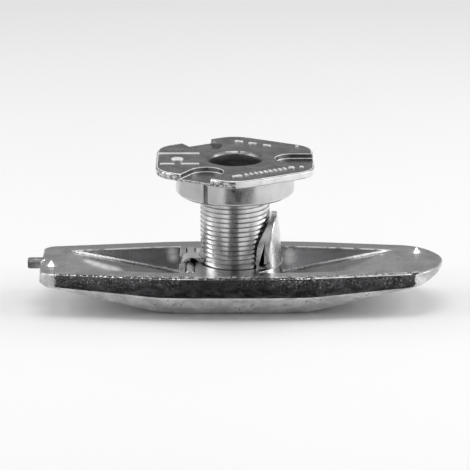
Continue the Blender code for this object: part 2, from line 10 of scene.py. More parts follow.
import bpy
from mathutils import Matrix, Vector

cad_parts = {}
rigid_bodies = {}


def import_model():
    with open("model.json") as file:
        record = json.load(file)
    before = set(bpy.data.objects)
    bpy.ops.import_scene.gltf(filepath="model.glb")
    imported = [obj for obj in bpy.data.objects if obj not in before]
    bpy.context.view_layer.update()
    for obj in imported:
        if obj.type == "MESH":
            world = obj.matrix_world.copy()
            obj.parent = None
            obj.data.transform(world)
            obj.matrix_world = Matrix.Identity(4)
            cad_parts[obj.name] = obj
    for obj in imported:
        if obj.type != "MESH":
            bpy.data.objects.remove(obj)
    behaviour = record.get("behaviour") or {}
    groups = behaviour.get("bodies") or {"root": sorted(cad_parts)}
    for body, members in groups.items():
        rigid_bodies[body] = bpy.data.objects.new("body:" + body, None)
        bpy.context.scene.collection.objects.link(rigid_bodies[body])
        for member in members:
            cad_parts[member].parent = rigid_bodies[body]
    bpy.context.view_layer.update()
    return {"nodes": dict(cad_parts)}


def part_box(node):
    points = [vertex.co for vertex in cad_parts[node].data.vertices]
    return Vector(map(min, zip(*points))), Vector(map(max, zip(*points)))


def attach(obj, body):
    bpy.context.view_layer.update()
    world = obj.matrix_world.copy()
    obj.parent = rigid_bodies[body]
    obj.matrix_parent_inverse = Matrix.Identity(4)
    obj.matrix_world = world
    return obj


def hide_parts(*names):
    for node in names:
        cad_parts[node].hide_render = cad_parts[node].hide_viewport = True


bl_info = {
    "name": "Toggle Anchor",
    "version": (1, 0, 0),
    "blender": (4, 5, 0),
    "location": "View3D > Sidebar > Toggle Anchor",
    "description": "Builds the detailed metal pieces of a toggle anchor and a plain studio",
    "category": "Object",
}

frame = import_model()

MM = 0.001
BAR_LOW, BAR_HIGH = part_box("toggle_bar")
BARREL_LOW, BARREL_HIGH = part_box("threaded_barrel")
NUT_LOW, NUT_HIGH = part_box("flange_nut")
PIN_LOW, PIN_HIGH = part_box("hinge_pin")

MOUTH_Z = 6.0 * MM                # plane of the bar's open mouth
BOW_REACH = 24.45 * MM            # from the middle of the bar's bowed front edge to its end
BOW_DEPTH = 2.2 * MM              # that edge has come in by this much at its end
BARREL_RADIUS = BARREL_HIGH.x     # at the thread's crest
SCREW_BORE_RADIUS = 3.0 * MM
END_CHAMFER = 0.35 * MM           # at both ends of the barrel, inside and out
HINGE = (PIN_LOW + PIN_HIGH) / 2
EAR_RADIUS = HINGE.x - BARREL_LOW.x
EAR_WIDTH = 2.6 * MM
EAR_HOLE_RADIUS = 0.85 * MM
EAR_ROUND = 0.07 * MM
FACE_Z = NUT_HIGH.z
COLLAR_RADIUS = 7.85 * MM

WELD = 0.002 * MM                 # points closer than this are merged
FLAT = math.radians(0.4)          # faces that meet at less than this are made one
SHARP = math.radians(34.0)        # edges sharper than this are rounded
THREAD_STEPS = 64                 # for each turn of a thread


# ---------------------------------------------------------------- settings

def length(name, description, default):
    """A length property, shown in the scene's units."""
    return bpy.props.FloatProperty(name=name, description=description, default=default, min=0.0,
                                   max=1.0, subtype="DISTANCE", unit="LENGTH", precision=6)


def shade(name, description, default):
    """A colour property."""
    return bpy.props.FloatVectorProperty(name=name, description=description, default=default,
                                         min=0.0, max=1.0, size=3, subtype="COLOR")


def share(name, description, default):
    """A property from 0 to 1."""
    return bpy.props.FloatProperty(name=name, description=description, default=default,
                                   min=0.0, max=1.0, subtype="FACTOR")


class CastingSettings(bpy.types.PropertyGroup):
    """Finish of the toggle bar's zinc casting."""

    colour: shade("Zinc colour", "Colour of the bare casting", (0.62, 0.62, 0.625))
    skin: shade("Skin colour", "Colour of the dull casting skin", (0.76, 0.76, 0.77))
    # The band's near-black colour is a painted dark reflection.
    band: shade("Rim band colour", "Colour of the rim band, a painted dark reflection",
                (0.11, 0.11, 0.115))
    edge: length("Edge rounding", "Width of the rounded edges", 0.15 * MM)


class BarrelSettings(bpy.types.PropertyGroup):
    """Threads of the barrel and its finish."""

    colour: shade("Barrel colour", "Colour of the turned zinc", (0.74, 0.74, 0.745))
    pitch: length("Outer pitch", "Distance from groove to groove", 0.635 * MM)
    depth: length("Groove depth", "Depth of the outer thread's grooves", 0.24 * MM)
    start: length("Thread start", "Height at which the outer thread starts", 6.2 * MM)
    screw_pitch: length("Inner pitch", "Pitch of the screw's thread in the bore", 1.0 * MM)
    screw_depth: length("Inner depth", "Height of the inner thread's ridges", 0.48 * MM)


class NutSettings(bpy.types.PropertyGroup):
    """Raised marks of the flange nut and its finish."""

    colour: shade("Nut colour", "Colour of the polished casting", (0.66, 0.66, 0.665))
    # The plate face's dark grey is a painted dark reflection.
    face: shade("Face colour", "Colour of the plate's duller face, darkened as a painted dark reflection", (0.30, 0.30, 0.305))
    edge: length("Edge rounding", "Width of the rounded edges", 0.08 * MM)
    relief: length("Relief", "Height of the raised marks", 0.18 * MM)


class PinSettings(bpy.types.PropertyGroup):
    """Hinge pin."""

    colour: shade("Wire colour", "Colour of the drawn wire", (0.78, 0.78, 0.785))


class StudioSettings(bpy.types.PropertyGroup):
    """Floor, light and camera."""

    floor_colour: shade("Floor colour", "Colour of the pale floor", (0.90, 0.90, 0.90))
    world_level: share("World level", "Brightness of the soft light from all round", 0.42)
    gap_level: share("Gap level", "Share of that light left in the dark gap in front", 0.10)
    azimuth: bpy.props.FloatProperty(name="Azimuth", description="Camera's turn round the anchor",
                                     default=math.radians(0.36), subtype="ANGLE")
    elevation: bpy.props.FloatProperty(name="Elevation", default=math.radians(17.0),
                                       description="Camera's angle above the floor",
                                       subtype="ANGLE")
    distance: length("Distance", "From the camera to the anchor", 336 * MM)
    lens: bpy.props.FloatProperty(name="Lens", description="Focal length in millimetres",
                                  default=193.0, min=10.0, max=400.0)


# ---------------------------------------------------------------- mesh helpers

def deselect_all():
    """Leave no object selected."""
    for thing in bpy.context.view_layer.objects:
        thing.select_set(False)


def activate(thing):
    """Make one object the only selected one, and the active one."""
    deselect_all()
    thing.select_set(True)
    bpy.context.view_layer.objects.active = thing


def edit(piece, kind):
    """Open a piece in edit mode with nothing selected."""
    activate(piece)
    bpy.ops.object.mode_set(mode="EDIT")
    bpy.ops.mesh.select_mode(type=kind)
    bpy.ops.mesh.select_all(action="DESELECT")


def edit_new(name, mesh):
    """Put a new mesh into the scene, and open it in edit mode with everything selected."""
    piece = bpy.data.objects.new(name, mesh)
    bpy.context.scene.collection.objects.link(piece)
    activate(piece)
    bpy.ops.object.mode_set(mode="EDIT")
    bpy.ops.mesh.select_all(action="SELECT")
    return piece


def pick_faces(piece, test):
    """Select the faces whose middle and normal pass a test; the piece stays in edit mode."""
    bpy.ops.object.mode_set(mode="OBJECT")
    for face in piece.data.polygons:
        face.select = test(face.center, face.normal)
    bpy.ops.object.mode_set(mode="EDIT")


def close_edit():
    """Turn every face outwards and leave edit mode."""
    bpy.ops.mesh.select_all(action="SELECT")
    bpy.ops.mesh.normals_make_consistent(inside=False)
    bpy.ops.object.mode_set(mode="OBJECT")


def fix_place(piece, name):
    """Name a new primitive and put its place, turn and size into its mesh."""
    piece.name = name
    piece.data.name = name
    bpy.ops.object.transform_apply(location=True, rotation=True, scale=True)
    return piece


def rod(name, radius, depth, place, turn=(0.0, 0.0, 0.0), vertices=48):
    """A cylinder at its place."""
    deselect_all()
    bpy.ops.mesh.primitive_cylinder_add(vertices=vertices, radius=radius, depth=depth,
                                        location=place, rotation=turn)
    return fix_place(bpy.context.object, name)


def block(name, size, place, turn=0.0):
    """A box of a given size, turned about Z."""
    deselect_all()
    bpy.ops.mesh.primitive_cube_add(size=1.0, location=place, rotation=(0.0, 0.0, turn),
                                    scale=size)
    return fix_place(bpy.context.object, name)


def turned(name, outline, steps):
    """Spin a closed outline of (radius, height) points about Z."""
    mesh = bpy.data.meshes.new(name)
    count = len(outline)
    mesh.from_pydata([(radius, 0.0, height) for radius, height in outline],
                     [(i, (i + 1) % count) for i in range(count)], [])
    piece = edit_new(name, mesh)
    bpy.ops.mesh.spin(steps=steps, angle=math.tau, center=(0.0, 0.0, 0.0), axis=(0.0, 0.0, 1.0))
    bpy.ops.mesh.select_all(action="SELECT")
    bpy.ops.mesh.remove_doubles(threshold=WELD)
    close_edit()
    return piece


def copy_of_node(node, name):
    """A separate, welded copy of a CAD node, with its flat faces whole again."""
    mesh = frame["nodes"][node].data.copy()
    mesh.name = name
    mesh.materials.clear()
    piece = edit_new(name, mesh)
    bpy.ops.mesh.customdata_custom_splitnormals_clear()
    bpy.ops.mesh.remove_doubles(threshold=WELD)
    bpy.ops.mesh.dissolve_limited(angle_limit=FLAT)
    bpy.ops.object.mode_set(mode="OBJECT")
    return piece


def helix(name, radius, pitch, low, high, outline, left_in, fade_high):
    """A closed band of a given outline wound round Z.

    Outline points are (outwards, upwards) from the line at the given radius. The band starts
    left_in too far out and comes to its place over one turn, so that the thread runs out
    gently, and with fade_high it ends in the same way.
    """
    count = int(math.ceil((high - low) / pitch * THREAD_STEPS))
    points = []
    for step in range(count + 1):
        turn = math.tau * step / THREAD_STEPS
        height = low + pitch * step / THREAD_STEPS
        fade = max(0.0, 1.0 - step / THREAD_STEPS)
        if fade_high:
            fade = max(fade, 1.0 - (count - step) / THREAD_STEPS)
        for out, up in outline:
            reach = radius + out + left_in * fade
            points.append((reach * math.cos(turn), reach * math.sin(turn), height + up))
    size = len(outline)
    faces = []
    for step in range(count):
        first = step * size
        for i in range(size):
            j = (i + 1) % size
            faces.append((first + i, first + j, first + size + j, first + size + i))
    faces.append(tuple(range(size)))
    faces.append(tuple(range(count * size, count * size + size)))
    mesh = bpy.data.meshes.new(name)
    mesh.from_pydata(points, [], faces)
    band = edit_new(name, mesh)
    close_edit()
    return band


def vee(pitch, root, wide, tip, narrow):
    """A thread's outline from root to tip, with its half widths there as shares of the pitch."""
    return ((root, -wide * pitch), (root, wide * pitch), (tip, narrow * pitch),
            (tip, -narrow * pitch))


def apply_all(piece):
    """Apply every modifier in order."""
    activate(piece)
    for modifier in list(piece.modifiers):
        bpy.ops.object.modifier_apply(modifier=modifier.name)


def round_edges(piece, width, slot=0):
    """Round every sharp edge; the new faces may take another material slot."""
    modifier = piece.modifiers.new("Rounded edges", "BEVEL")
    modifier.width = width
    modifier.segments = 2
    modifier.limit_method = "ANGLE"
    modifier.angle_limit = SHARP
    modifier.use_clamp_overlap = False
    modifier.miter_outer = "MITER_ARC"
    modifier.material = slot
    apply_all(piece)


def combine(piece, tool, operation):
    """Boolean a tool into a piece, and remove the tool."""
    modifier = piece.modifiers.new("Combine", "BOOLEAN")
    modifier.operation = operation
    modifier.solver = "EXACT"
    modifier.object = tool
    apply_all(piece)
    if not piece.data.polygons:
        raise RuntimeError("nothing is left of " + piece.name + " after " + tool.name)
    mesh = tool.data
    bpy.data.objects.remove(tool)
    bpy.data.meshes.remove(mesh)


def drop_slivers(piece):
    """Delete every scrap that isn't joined to the piece's highest point."""
    edit(piece, "VERT")
    bpy.ops.object.mode_set(mode="OBJECT")
    max(piece.data.vertices, key=lambda vertex: vertex.co.z).select = True
    bpy.ops.object.mode_set(mode="EDIT")
    bpy.ops.mesh.select_linked()
    bpy.ops.mesh.select_all(action="INVERT")
    bpy.ops.mesh.delete(type="VERT")
    bpy.ops.object.mode_set(mode="OBJECT")


def smooth(piece, degrees=32.0):
    """Shade a piece smooth up to an angle, with its large flat faces kept flat."""
    activate(piece)
    bpy.ops.object.shade_smooth_by_angle(angle=math.radians(degrees))
    modifier = piece.modifiers.new("Flat faces", "WEIGHTED_NORMAL")
    modifier.keep_sharp = True
    apply_all(piece)


def settle(piece, body, slot, *nodes):
    """Hang a finished piece on its CAD body in place of its CAD nodes."""
    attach(piece, body)
    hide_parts(*nodes)


# ---------------------------------------------------------------- materials

class Nodes:
    """Short names for wiring the nodes of one material or world."""

    def __init__(self, owner):
        owner.use_nodes = True
        self.owner = owner
        self.tree = owner.node_tree
        self.coordinates = self.add("ShaderNodeTexCoord").outputs
        self.place = self.coordinates["Object"]

    def add(self, kind, **settings):
        """A new node with some of its settings changed."""
        node = self.tree.nodes.new(kind)
        for key, value in settings.items():
            setattr(node, key, value)
        return node

    def join(self, source, target):
        """Link an output to an input."""
        self.tree.links.new(source, target)

    def axis(self, letter):
        """One coordinate of the place on the piece."""
        node = self.add("ShaderNodeSeparateXYZ")
        self.join(self.place, node.inputs["Vector"])
        return node.outputs[letter]

    def noise(self, scale, detail=3.0, roughness=0.55, distortion=0.0, place=None):
        """Noise with features about 1 / scale across; scale is for each millimetre."""
        node = self.add("ShaderNodeTexNoise")
        node.inputs["Scale"].default_value = scale / MM
        node.inputs["Detail"].default_value = detail
        node.inputs["Roughness"].default_value = roughness
        node.inputs["Distortion"].default_value = distortion
        self.join(place or self.place, node.inputs["Vector"])
        return node.outputs["Fac"]

    def cells(self, scale):
        """Distance to the nearest of scattered points; scale is for each millimetre."""
        node = self.add("ShaderNodeTexVoronoi")
        node.inputs["Scale"].default_value = scale / MM
        self.join(self.place, node.inputs["Vector"])
        return node.outputs["Distance"]

    def stretched(self, scale):
        """The place on the piece, scaled along each axis."""
        node = self.add("ShaderNodeMapping")
        node.inputs["Scale"].default_value = scale
        self.join(self.place, node.inputs["Vector"])
        return node.outputs["Vector"]

    def patch(self, middle, radius):
        """1 at a place given in millimetres, fading to 0 at a radius round it."""
        node = self.add("ShaderNodeVectorMath", operation="DISTANCE")
        node.inputs[1].default_value = Vector(middle) * MM
        self.join(self.place, node.inputs[0])
        return self.ramp(node.outputs["Value"], 0.0, radius * MM, 1.0, 0.0)

    def front_strip(self, half_width):
        """1 along the bar's bowed front edge, gone 1.3 mm behind it and weak near the tail."""
        sideways = self.maths("MULTIPLY", self.axis("X"), 1.0 / BOW_REACH)
        bow = self.maths("MULTIPLY", self.maths("MULTIPLY", sideways, sideways), BOW_DEPTH)
        behind = self.maths("SUBTRACT", self.maths("ADD", self.axis("Y"), half_width), bow)
        return self.maths("MULTIPLY", self.ramp(behind, 0.5 * MM, 1.3 * MM, 1.0, 0.0),
                          self.ramp(self.axis("X"), -15.0 * MM, -9.0 * MM, 0.25, 1.0))

    def ramp(self, value, low, high, start=0.0, end=1.0):
        """Map low..high to start..end, smoothly and held at both ends."""
        node = self.add("ShaderNodeMapRange", interpolation_type="SMOOTHSTEP")
        node.inputs["From Min"].default_value = low
        node.inputs["From Max"].default_value = high
        node.inputs["To Min"].default_value = start
        node.inputs["To Max"].default_value = end
        self.join(value, node.inputs["Value"])
        return node.outputs["Result"]

    def maths(self, operation, first, second=None):
        """The result of an operation on one or two values, each a number or a socket."""
        node = self.add("ShaderNodeMath", operation=operation)
        for socket, value in zip(node.inputs, (first, second)):
            if value is None:
                continue
            if isinstance(value, (int, float)):
                socket.default_value = value
            else:
                self.join(value, socket)
        return node.outputs["Value"]

    def blend(self, factor, first, second):
        """Mix two colours, each a colour or a socket."""
        node = self.add("ShaderNodeMix", data_type="RGBA")
        self.join(factor, node.inputs["Factor"])
        for socket, value in ((node.inputs[6], first), (node.inputs[7], second)):
            if isinstance(value, tuple):
                socket.default_value = (*value, 1.0)
            else:
                self.join(value, socket)
        return node.outputs[2]

    def bump(self, height, distance, after=None):
        """A surface raised by the height times the distance, on top of another bump."""
        node = self.add("ShaderNodeBump")
        node.inputs["Strength"].default_value = 1.0
        node.inputs["Distance"].default_value = distance
        self.join(height, node.inputs["Height"])
        if after is not None:
            self.join(after, node.inputs["Normal"])
        return node.outputs["Normal"]

    def metal(self, colour, roughness, normal, dull=0.0):
        """Wire a metal's colour, roughness and normal; dull is how matte it is, or a mask."""
        shader = self.tree.nodes["Principled BSDF"]
        if isinstance(dull, float):
            shader.inputs["Metallic"].default_value = 1.0 - dull
        else:
            self.join(self.maths("SUBTRACT", 1.0, dull), shader.inputs["Metallic"])
        self.join(colour, shader.inputs["Base Color"])
        self.join(roughness, shader.inputs["Roughness"])
        self.join(normal, shader.inputs["Normal"])
        return self.owner


def toned(colour, level):
    """A colour made darker or brighter by a level, held within 1."""
    return tuple(min(1.0, channel * level) for channel in colour)


def cast_metal(name, colour, roughness, mottle, pits, grain, matte=0.0):
    """Die-cast zinc: cloudy colour, small pits and a fine sandy grain, dulled by matte."""
    wiring = Nodes(bpy.data.materials.new(name))
    clouds = wiring.noise(0.55, detail=4.0, distortion=0.4)
    fine = wiring.noise(4.5, detail=3.0)
    tint = wiring.blend(wiring.ramp(clouds, 0.35, 0.68), toned(colour, 1.0 - mottle),
                        tuple(colour))
    speck = wiring.ramp(fine, 0.62, 0.72)
    tint = wiring.blend(wiring.maths("MULTIPLY", speck, 0.6), tint, toned(colour, 1.6))
    spots = wiring.ramp(wiring.cells(1.3), 0.10, 0.26, 1.0, 0.0)
    gate = wiring.ramp(wiring.noise(0.8, detail=1.0), 0.50, 0.56)
    hole = wiring.maths("MULTIPLY", spots, gate)
    # The pits are painted near-black as well as sunk by the bump: painted shade.
    tint = wiring.blend(wiring.maths("MULTIPLY", hole, min(1.0, 2.0 * pits)), tint,
                        toned(colour, 0.12))
    rough = wiring.ramp(clouds, 0.3, 0.7, roughness * 1.25, roughness * 0.8)
    ground = wiring.bump(fine, grain * MM)
    waves = wiring.bump(wiring.noise(0.9, detail=2.0), 3.0 * grain * MM, ground)
    sunk = wiring.bump(wiring.maths("SUBTRACT", 1.0, hole), pits * 0.12 * MM, waves)
    return wiring.metal(tint, rough, sunk, matte)


def painted_dark_reflection_band(name, colour, bare, end):
    """The rim's upright band: dull, near-black as a painted dark reflection, paler and rubbed
    towards its top, with ends painted brighter than bare metal as a painted highlight.
    """
    wiring = Nodes(bpy.data.materials.new(name))
    clouds = wiring.noise(1.5, detail=5.0, roughness=0.62, distortion=0.4,
                          place=wiring.stretched((0.4, 1.0, 1.0)))
    grit = wiring.noise(4.0, detail=4.0, roughness=0.65)
    # Near-black clouds: painted dark reflection.
    tint = wiring.blend(wiring.ramp(clouds, 0.38, 0.64), toned(colour, 0.28), tuple(colour))
    paler = wiring.ramp(wiring.axis("Z"), MOUTH_Z - 2.2 * MM, MOUTH_Z - 0.6 * MM, 0.0, 0.45)
    tint = wiring.blend(wiring.maths("MULTIPLY", paler, wiring.ramp(grit, 0.35, 0.60)), tint,
                        toned(colour, 2.2))
    upper = wiring.ramp(wiring.axis("Z"), MOUTH_Z - 1.9 * MM, MOUTH_Z - 0.3 * MM, 0.25, 1.0)
    rubbed = wiring.maths("MULTIPLY", wiring.ramp(grit, 0.55, 0.64),
                          wiring.ramp(wiring.noise(0.9, detail=2.0), 0.40, 0.56))
    tint = wiring.blend(wiring.maths("MULTIPLY", rubbed, upper), tint, tuple(bare))
    ragged = wiring.maths("MULTIPLY", wiring.maths("SUBTRACT", grit, 0.5), 1.6 * MM)
    along = wiring.maths("ADD", wiring.maths("ABSOLUTE", wiring.axis("X")), ragged)
    # Ends brighter than bare metal: painted highlight.
    tint = wiring.blend(wiring.ramp(along, end, end + 0.25 * MM), tint, toned(bare, 1.3))
    rough = wiring.ramp(grit, 0.35, 0.65, 0.40, 0.26)
    ground = wiring.bump(grit, 0.016 * MM)
    waves = wiring.bump(clouds, 0.03 * MM, ground)
    return wiring.metal(tint, rough, waves)


def edge_nicks_and_painted_glints(name, bright, dark, scale, share_dark, matte=0.0):
    """An edge with bright stretches, dulled by matte, between dark nicks; the stretches are
    rubbed metal, except near-white matte ones, as on the bar's far edges, which are painted
    highlights.
    """
    wiring = Nodes(bpy.data.materials.new(name))
    nicks = wiring.noise(scale, detail=3.0, roughness=0.6)
    low, high = share_dark - 0.05, share_dark + 0.06
    tint = wiring.blend(wiring.ramp(nicks, low, high), tuple(dark), tuple(bright))
    rough = wiring.ramp(nicks, 0.35, 0.65, 0.38, 0.20)
    ground = wiring.bump(nicks, 0.05 * MM)
    dull = wiring.ramp(nicks, low, high, 0.0, matte) if matte > 0.0 else 0.0
    return wiring.metal(tint, rough, ground, dull)


def bright_metal(name, colour, roughness, grain=0.004, wave=0.012, streak=None, far_dark=1.0,
                 spots=(), speckle=0.6, cloud=0.84, matte=0.0, front_wear_and_painted_glints=None):
    """Smooth bright zinc with faint clouds.

    streak stretches the fine scratches along an axis, far_dark darkens the far side, speckle is
    the strength of small dark specks, cloud the level of the darkest clouds and matte how dull
    the whole surface is. Each spot of (x, y, z, radius, level), the first four in millimetres,
    is a matte patch of that grey. front_wear_and_painted_glints is the half width of a bar with a speckled strip
    along its front edge.
    """
    wiring = Nodes(bpy.data.materials.new(name))
    place = wiring.place if streak is None else wiring.stretched(streak)
    clouds = wiring.noise(0.45, detail=3.0, distortion=0.3)
    fine = wiring.noise(6.0, detail=2.0, place=place)
    tint = wiring.blend(wiring.ramp(clouds, 0.32, 0.68), toned(colour, cloud), tuple(colour))
    specks = wiring.ramp(wiring.noise(3.2, detail=2.0), 0.66, 0.74)
    tint = wiring.blend(wiring.maths("MULTIPLY", specks, speckle), tint, toned(colour, 0.45))
    if far_dark < 1.0:
        far = wiring.ramp(wiring.axis("Y"), 4.0 * MM, 6.2 * MM)
        tint = wiring.blend(far, tint, toned(colour, far_dark))
    dull = matte
    if front_wear_and_painted_glints is not None:
        strip = wiring.front_strip(front_wear_and_painted_glints)
        nicks = wiring.ramp(wiring.noise(2.4, detail=2.0), 0.46, 0.52, 1.0, 0.0)
        tint = wiring.blend(wiring.maths("MULTIPLY", strip, nicks), tint, toned(colour, 0.3))
        # The dark nicks are wear; these near-white matte specks are painted highlights.
        glints = wiring.ramp(wiring.noise(2.1, detail=2.0, distortion=0.5), 0.52, 0.56, 0.0, 0.85)
        dull = wiring.maths("MULTIPLY", strip, glints)
        tint = wiring.blend(dull, tint, (0.8, 0.8, 0.8))
    # Patches of flat grey; on the mouth, in the pockets and on the collar they paint highlights
    # where pale, and shade or a dark reflection where near-black.
    for x, y, z, radius, level in spots:
        patch = wiring.patch((x, y, z), radius)
        tint = wiring.blend(patch, tint, (level, level, level))
        dull = wiring.maths("MAXIMUM", dull, patch)
    rough = wiring.ramp(fine, 0.3, 0.7, roughness * 0.75, roughness * 1.3)
    ground = wiring.bump(fine, grain * MM)
    waves = wiring.bump(clouds, wave * MM, ground)
    return wiring.metal(tint, rough, waves, dull)


# ---------------------------------------------------------------- operators

class ANCHOR_OT_toggle_bar(bpy.types.Operator):
    """Build the toggle bar's casting, with rounded edges and its kinds of surface"""

    bl_idname = "anchor.toggle_bar"
    bl_label = "Toggle bar"

    SKIN, BAND, RIM, EDGE, NICKED, POCKET, TONGUE, ENDS, STUB, FAR_EDGE = range(10)

    # Where the kinds of surface begin or end: along X, or along |X| where it says reach
    STUB_START = BAR_LOW.x + 1.5 * MM
    TONGUE_LOW, TONGUE_HIGH = 2.5 * MM, 7.0 * MM
    HUB_REACH = 6.0 * MM
    BAND_REACH = 23.6 * MM
    NICKED_REACH = 23.9 * MM
    ENDS_REACH = 24.0 * MM
    # The same across the bar, from its middle
    FAR_WALL = 3.5 * MM
    FLANK = 5.0 * MM
    FRONT_WALL = -5.5 * MM
    POCKET_REACH = 6.15 * MM
    # And upwards
    BAND_FOOT = 1.5 * MM
    POCKET_FOOT = 1.6 * MM
    BAND_TOP = MOUTH_Z - 1.2 * MM
    RIM_LOW = MOUTH_Z - 0.3 * MM

    # Matte patches: x, y, z and radius in millimetres, then a grey level. On the mouth and in the
    # pockets the pale patches are painted highlights and the near-black ones painted shade.
    MOUTH_PAINTED_LIGHT_AND_SHADE = ((-7.3, -4.05, 6.0, 0.6, 0.02), (-5.1, 1.6, 6.0, 0.7, 0.95),
                   (-5.05, 2.6, 6.0, 0.8, 0.95), (-5.0, 3.6, 6.0, 0.8, 0.95),
                   (-4.95, 4.6, 6.0, 0.7, 0.9))
    POCKET_PAINTED_LIGHT_AND_SHADE = ((-8.5, 5.7, 5.3, 1.2, 1.0), (-8.4, 5.7, 4.5, 1.2, 1.0),
                    (7.5, 5.8, 4.9, 1.3, 1.0), (7.4, 5.8, 4.1, 1.3, 1.0),
                    (-19.6, 1.3, 5.3, 1.3, 0.9), (-18.6, 1.0, 5.05, 1.9, 0.9),
                    (-17.4, 0.7, 4.8, 2.1, 0.9), (-16.2, 0.8, 4.5, 1.8, 0.8),
                    (-21.2, 3.7, 5.8, 1.1, 0.9), (-20.0, 3.9, 5.5, 0.9, 0.8),
                    (-18.8, 4.2, 5.3, 0.8, 0.7), (-10.4, 5.0, 3.1, 0.8, 0.02))
    TONGUE_SPOTS = ((4.2, -3.4, 10.4, 2.4, 0.75), (3.7, -4.0, 8.2, 2.0, 0.6))

    def execute(self, context):
        settings = context.scene.anchor_casting
        piece = copy_of_node("toggle_bar", "toggle_bar_casting")
        for material in self.finishes(settings, tuple(settings.colour)):
            piece.data.materials.append(material)
        round_edges(piece, settings.edge, self.EDGE)
        for face in piece.data.polygons:
            face.material_index = self.surface(face)
        smooth(piece)
        settle(piece, "bar", "bar_casting", "toggle_bar")
        return {"FINISHED"}

    def finishes(self, settings, colour):
        """The materials of the kinds of surface, in their order."""
        return (
            cast_metal("Zinc casting skin", settings.skin, roughness=0.34, mottle=0.34, pits=0.8,
                       grain=0.012, matte=0.6),
            painted_dark_reflection_band("Rim band, painted dark reflection", settings.band, colour, self.BAND_REACH),
            bright_metal("Zinc mouth faces", colour, 0.27, grain=0.008, wave=0.02, far_dark=0.72,
                         spots=self.MOUTH_PAINTED_LIGHT_AND_SHADE, cloud=0.70, front_wear_and_painted_glints=BAR_HIGH.y),
            bright_metal("Zinc rubbed edges", toned(colour, 1.35), 0.22, grain=0.008),
            edge_nicks_and_painted_glints("Zinc nicked rim", colour, toned(colour, 0.10), scale=2.6,
                        share_dark=0.55),
            bright_metal("Zinc pockets", toned(colour, 1.05), 0.20, grain=0.002, wave=0.03,
                         spots=self.POCKET_PAINTED_LIGHT_AND_SHADE),
            bright_metal("Zinc tongue", toned(colour, 1.35), 0.26, grain=0.002, wave=0.02,
                         spots=self.TONGUE_SPOTS),
            # The bar's end faces, painted brighter and matte: painted highlight.
            cast_metal("Zinc bar ends, painted highlight", toned(colour, 1.4), roughness=0.36, mottle=0.45,
                       pits=0.5, grain=0.012, matte=0.4),
            cast_metal("Zinc end pin", toned(colour, 0.55), roughness=0.45, mottle=0.4, pits=0.4,
                       grain=0.012),
            # Near-white matte stretches on the far rim's inner edge: painted highlights.
            edge_nicks_and_painted_glints("Zinc far edges, painted highlights", (0.95, 0.95, 0.95), toned(colour, 0.6), scale=0.9,
                        share_dark=0.44, matte=0.9),
        )

    def surface(self, face):
        """The kind of surface that a face belongs to, by its place and direction."""
        centre, normal = face.center, face.normal
        reach, across = abs(centre.x), abs(centre.y)
        if centre.x < self.STUB_START:
            return self.STUB
        if face.material_index == self.EDGE:
            return self.rounded_surface(centre, normal)
        if centre.z > MOUTH_Z + 0.1 * MM:
            return self.TONGUE if self.TONGUE_LOW < centre.x < self.TONGUE_HIGH else self.EDGE
        if abs(normal.z) < 0.3 and abs(normal.x) > 0.5 and reach > self.ENDS_REACH:
            return self.ENDS
        upright = abs(normal.z) < 0.2 and abs(normal.y) > math.cos(math.radians(24))
        if upright and centre.z < MOUTH_Z and across > self.POCKET_REACH:
            return self.BAND
        if normal.z > 0.9 and centre.z > self.RIM_LOW:
            return self.RIM
        if centre.z > self.POCKET_FOOT and normal.z > -0.1 and across < self.POCKET_REACH:
            fillet = 0.3 < normal.z < 0.9 and normal.y < -0.3
            return self.EDGE if fillet else self.POCKET
        return self.SKIN

    def rounded_surface(self, centre, normal):
        """The kind of surface that a face of a rounded edge belongs to."""
        reach = abs(centre.x)
        if centre.z < self.BAND_TOP and abs(centre.y) > self.FLANK:
            return self.BAND if centre.z > self.BAND_FOOT else self.SKIN
        if normal.y < -0.1:
            if (centre.z < MOUTH_Z + 0.05 * MM and centre.y < self.FRONT_WALL
                    and reach < self.NICKED_REACH):
                return self.NICKED
            if (self.RIM_LOW < centre.z < MOUTH_Z + 0.01 * MM and centre.y > self.FAR_WALL
                    and reach > self.HUB_REACH):
                return self.FAR_EDGE
        return self.EDGE


class ANCHOR_OT_hinge_pin(bpy.types.Operator):
    """Build the hinge pin from drawn wire with rounded ends"""

    bl_idname = "anchor.hinge_pin"
    bl_label = "Hinge pin"

    END_ROUND = 0.16 * MM

    def execute(self, context):
        settings = context.scene.anchor_pin
        piece = rod("hinge_pin_wire", (PIN_HIGH.z - PIN_LOW.z) / 2, PIN_HIGH.y - PIN_LOW.y, HINGE,
                    (math.pi / 2, 0.0, 0.0))
        edit(piece, "FACE")
        pick_faces(piece, lambda centre, normal: abs(normal.y) > 0.9)
        bpy.ops.mesh.bevel(offset=self.END_ROUND, segments=3, affect="EDGES")
        close_edit()
        piece.data.materials.append(
            bright_metal("Drawn wire", settings.colour, 0.24, streak=(1.0, 0.2, 1.0)))
        smooth(piece)
        settle(piece, "bar", "pin_wire", "hinge_pin")
        return {"FINISHED"}


